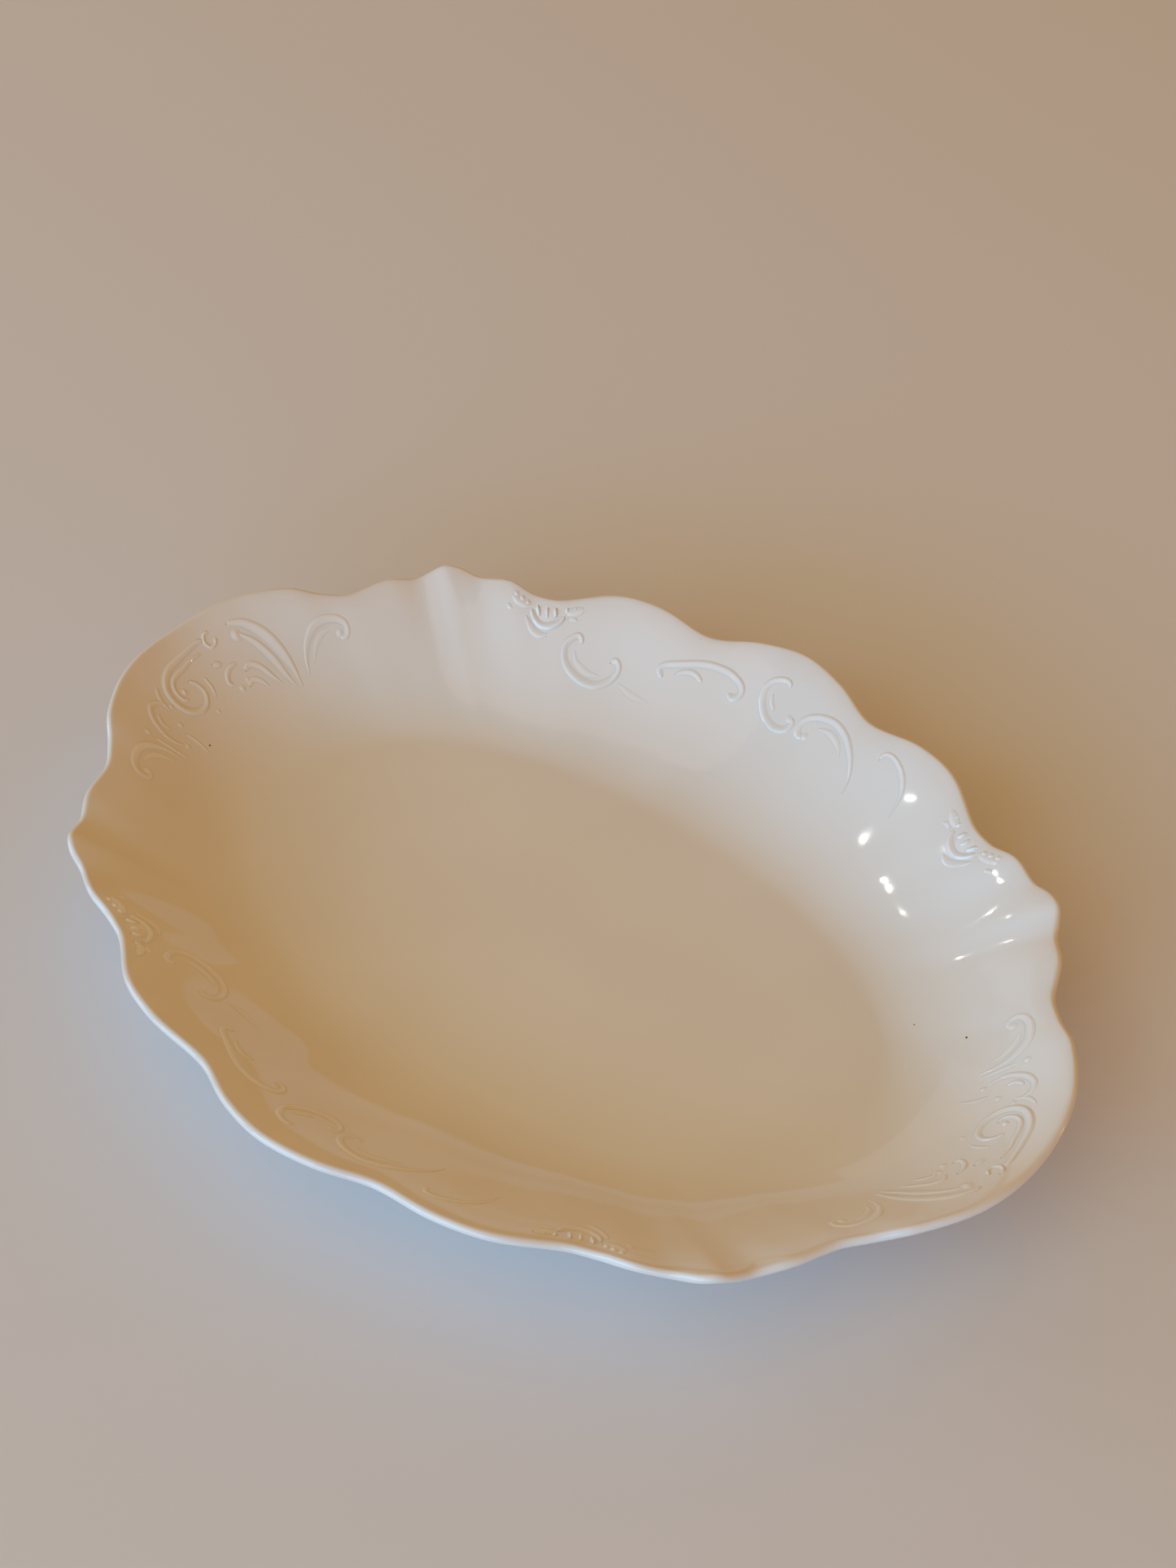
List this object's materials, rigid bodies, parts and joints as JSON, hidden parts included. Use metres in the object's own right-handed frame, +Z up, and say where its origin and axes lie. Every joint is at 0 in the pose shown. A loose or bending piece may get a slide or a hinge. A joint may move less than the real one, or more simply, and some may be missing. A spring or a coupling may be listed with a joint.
{
  "type": "china serving platter",
  "caption": "Oval china serving platter with a deep well, a scalloped rolled lip, raised scroll ornament and a foot ring.",
  "frame": {"origin": "centre of the foot ring's resting plane", "axes": "+X along the platter's length, +Y across it, +Z up out of the well"},
  "size_m": [0.356, 0.2776, 0.0446],
  "materials": {
    "glaze": "gloss, clear glaze on a warm white body",
    "foot_glaze": "gloss sides with a bare, wiped resting edge",
    "relief_glaze": "gloss, soft-edged raised relief"
  },
  "bodies": {
    "root": {"platter_body": "glaze", "foot_ring": "foot_glaze", "far_arch_left": "relief_glaze", "far_arch_right": "relief_glaze", "far_c_scroll": "relief_glaze", "far_crest": "relief_glaze", "far_hook": "relief_glaze", "far_left_corner_scroll": "relief_glaze", "far_left_corner_shell": "relief_glaze", "far_left_end_hook": "relief_glaze", "far_right_corner_scroll": "relief_glaze", "far_right_corner_shell": "relief_glaze", "far_right_end_hook": "relief_glaze", "left_end_crook": "relief_glaze", "left_end_curl": "relief_glaze", "left_end_leaf": "relief_glaze", "left_end_scroll": "relief_glaze", "near_arch_left": "relief_glaze", "near_arch_right": "relief_glaze", "near_c_scroll": "relief_glaze", "near_crest": "relief_glaze", "near_hook": "relief_glaze", "near_left_corner_scroll": "relief_glaze", "near_left_corner_shell": "relief_glaze", "near_left_end_hook": "relief_glaze", "near_right_corner_scroll": "relief_glaze", "near_right_corner_shell": "relief_glaze", "near_right_end_hook": "relief_glaze", "right_end_crook": "relief_glaze", "right_end_curl": "relief_glaze", "right_end_leaf": "relief_glaze", "right_end_scroll": "relief_glaze"}
  },
  "joints": []
}
